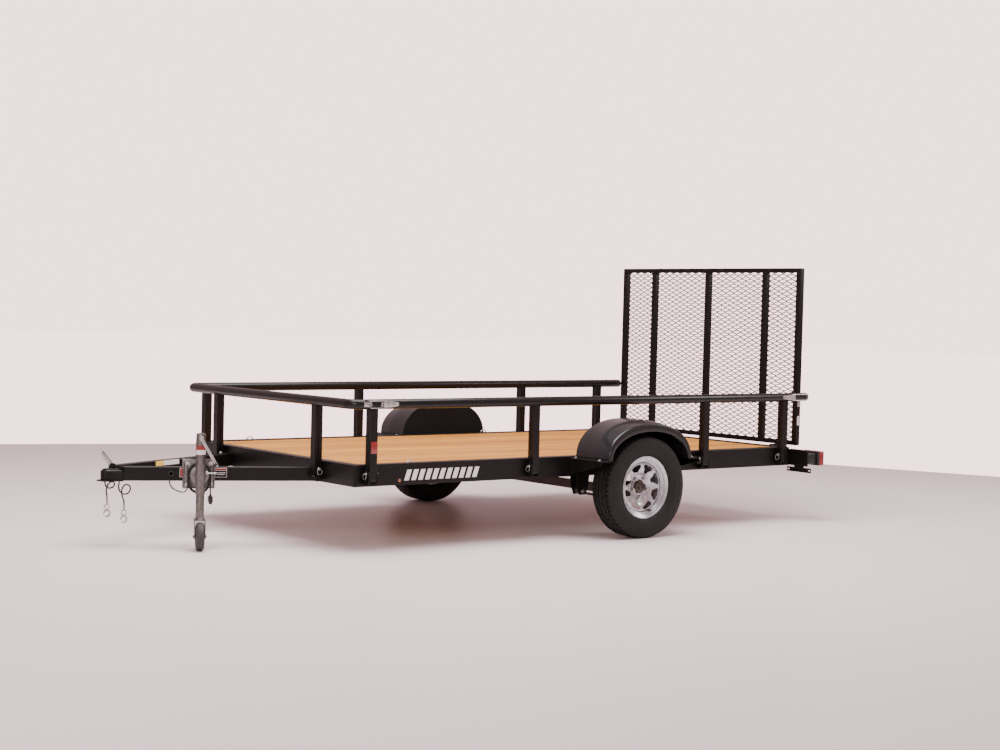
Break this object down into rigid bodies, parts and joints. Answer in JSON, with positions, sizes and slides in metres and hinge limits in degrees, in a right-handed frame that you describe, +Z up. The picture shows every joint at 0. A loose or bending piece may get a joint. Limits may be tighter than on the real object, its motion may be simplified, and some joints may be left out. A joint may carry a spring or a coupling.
{
  "type": "utility trailer",
  "caption": "Single-axle utility trailer with a timber deck, folding tube rails, a rear ramp gate of expanded mesh, an A-frame tongue and a side-wind jack.",
  "frame": {"origin": "on the ground, under the middle of the overall length and width", "axes": "+X forward to the coupler, +Y to the trailer's left, +Z up"},
  "size_m": [4.574, 2.33, 1.634],
  "materials": {
    "frame_black": "semi-gloss warm black powder coat",
    "rail_black": "semi-gloss black powder coat",
    "gate_black": "semi-gloss black powder coat",
    "mesh_black": "semi-gloss black powder coat",
    "deck_wood": "dry planed pine, satin",
    "axle_grey": "satin dark grey paint",
    "spring_black": "satin black paint",
    "fender_plastic": "glossy charcoal plastic",
    "tyre_rubber": "matt black rubber",
    "wheel_silver": "silver paint",
    "hub_steel": "bare dark steel",
    "zinc": "zinc plated, satin",
    "jack_rubber": "dark grey rubber",
    "light_red": "glossy red lens",
    "cord_black": "satin black sheath"
  },
  "bodies": {
    "chassis": {"side_frame_left": "frame_black", "side_frame_right": "frame_black", "front_beam": "frame_black", "rear_beam": "frame_black", "floor_bearers": "frame_black", "deck_boards": "deck_wood", "tongue_beam_left": "frame_black", "tongue_beam_right": "frame_black", "coupler": "frame_black", "axle_beam": "axle_grey", "leaf_spring_left": "spring_black", "leaf_spring_right": "spring_black", "spring_hangers_left": "frame_black", "spring_hangers_right": "frame_black", "fender_left": "fender_plastic", "fender_right": "fender_plastic", "fender_steps_left": "frame_black", "fender_steps_right": "frame_black", "post_brackets_left": "frame_black", "post_brackets_right": "frame_black", "post_brackets_front": "frame_black", "gate_hinges": "frame_black", "light_bracket_left": "frame_black", "light_bracket_right": "frame_black", "tail_light_left": "light_red", "tail_light_right": "light_red", "plate_bracket": "frame_black", "jack_mount": "zinc", "harness_cable": "cord_black", "harness_coil": "cord_black", "harness_end": "cord_black", "harness_plug": "cord_black", "safety_cable_left": "cord_black", "safety_cable_right": "cord_black", "safety_hook_left": "zinc", "safety_hook_right": "zinc"},
    "left_rail": {"side_rail_left": "rail_black", "latches_left": "zinc"},
    "right_rail": {"side_rail_right": "rail_black", "latches_right": "zinc"},
    "front_rail": {"front_rail": "rail_black"},
    "gate": {"gate_frame": "gate_black", "gate_mesh": "mesh_black", "gate_keepers": "zinc"},
    "left_wheel": {"tyre_left": "tyre_rubber", "rim_left": "wheel_silver", "hub_left": "hub_steel"},
    "right_wheel": {"tyre_right": "tyre_rubber", "rim_right": "wheel_silver", "hub_right": "hub_steel"},
    "jack_body": {"jack_tube": "zinc"},
    "jack_crank": {"jack_crank": "zinc"},
    "jack_leg": {"jack_leg": "zinc"},
    "jack_caster": {"jack_fork": "zinc"},
    "jack_wheel": {"jack_wheel": "jack_rubber"},
    "coupler_latch": {"coupler_lever": "zinc"}
  },
  "joints": [
    {"name": "left_wheel_spin", "type": "hinge", "parent": "chassis", "child": "left_wheel", "pos_m": [-0.637, 1.061, 0.298], "axis": [0, 1, 0], "continuous": true},
    {"name": "right_wheel_spin", "type": "hinge", "parent": "chassis", "child": "right_wheel", "pos_m": [-0.637, -1.061, 0.298], "axis": [0, 1, 0], "continuous": true},
    {"name": "left_rail_fold", "type": "hinge", "parent": "chassis", "child": "left_rail", "pos_m": [-0.637, 0.909, 0.395], "axis": [-1, 0, 0], "range_deg": [0, 90]},
    {"name": "right_rail_fold", "type": "hinge", "parent": "chassis", "child": "right_rail", "pos_m": [-0.637, -0.909, 0.395], "axis": [1, 0, 0], "range_deg": [0, 90]},
    {"name": "front_rail_fold", "type": "hinge", "parent": "chassis", "child": "front_rail", "pos_m": [1.266, 0, 0.395], "axis": [0, 1, 0], "range_deg": [0, 50]},
    {"name": "gate_hinge", "type": "hinge", "parent": "chassis", "child": "gate", "pos_m": [-2.162, 0, 0.445], "axis": [0, -1, 0], "range_deg": [0, 106]},
    {"name": "jack_swivel", "type": "hinge", "parent": "chassis", "child": "jack_body", "pos_m": [1.83703, 0.29377, 0.393], "axis": [0.4131, 0.9107, 0], "range_deg": [0, 90]},
    {"name": "jack_lift", "type": "slide", "parent": "jack_body", "child": "jack_leg", "axis": [0, 0, -1], "range_m": [-0.06, 0.12]},
    {"name": "jack_caster", "type": "hinge", "parent": "jack_leg", "child": "jack_caster", "pos_m": [1.86264, 0.35023, 0.167], "axis": [0, 0, 1], "continuous": true},
    {"name": "jack_wheel_spin", "type": "hinge", "parent": "jack_caster", "child": "jack_wheel", "pos_m": [1.87917, 0.38666, 0.076], "axis": [0.9107, -0.4131, 0], "continuous": true},
    {"name": "jack_crank_turn", "type": "hinge", "parent": "jack_body", "child": "jack_crank", "pos_m": [1.86264, 0.35023, 0.596], "axis": [0.4131, 0.9107, 0], "continuous": true},
    {"name": "coupler_latch", "type": "hinge", "parent": "chassis", "child": "coupler_latch", "pos_m": [2.205, 0, 0.431], "axis": [0, -1, 0], "range_deg": [0, 110]}
  ]
}
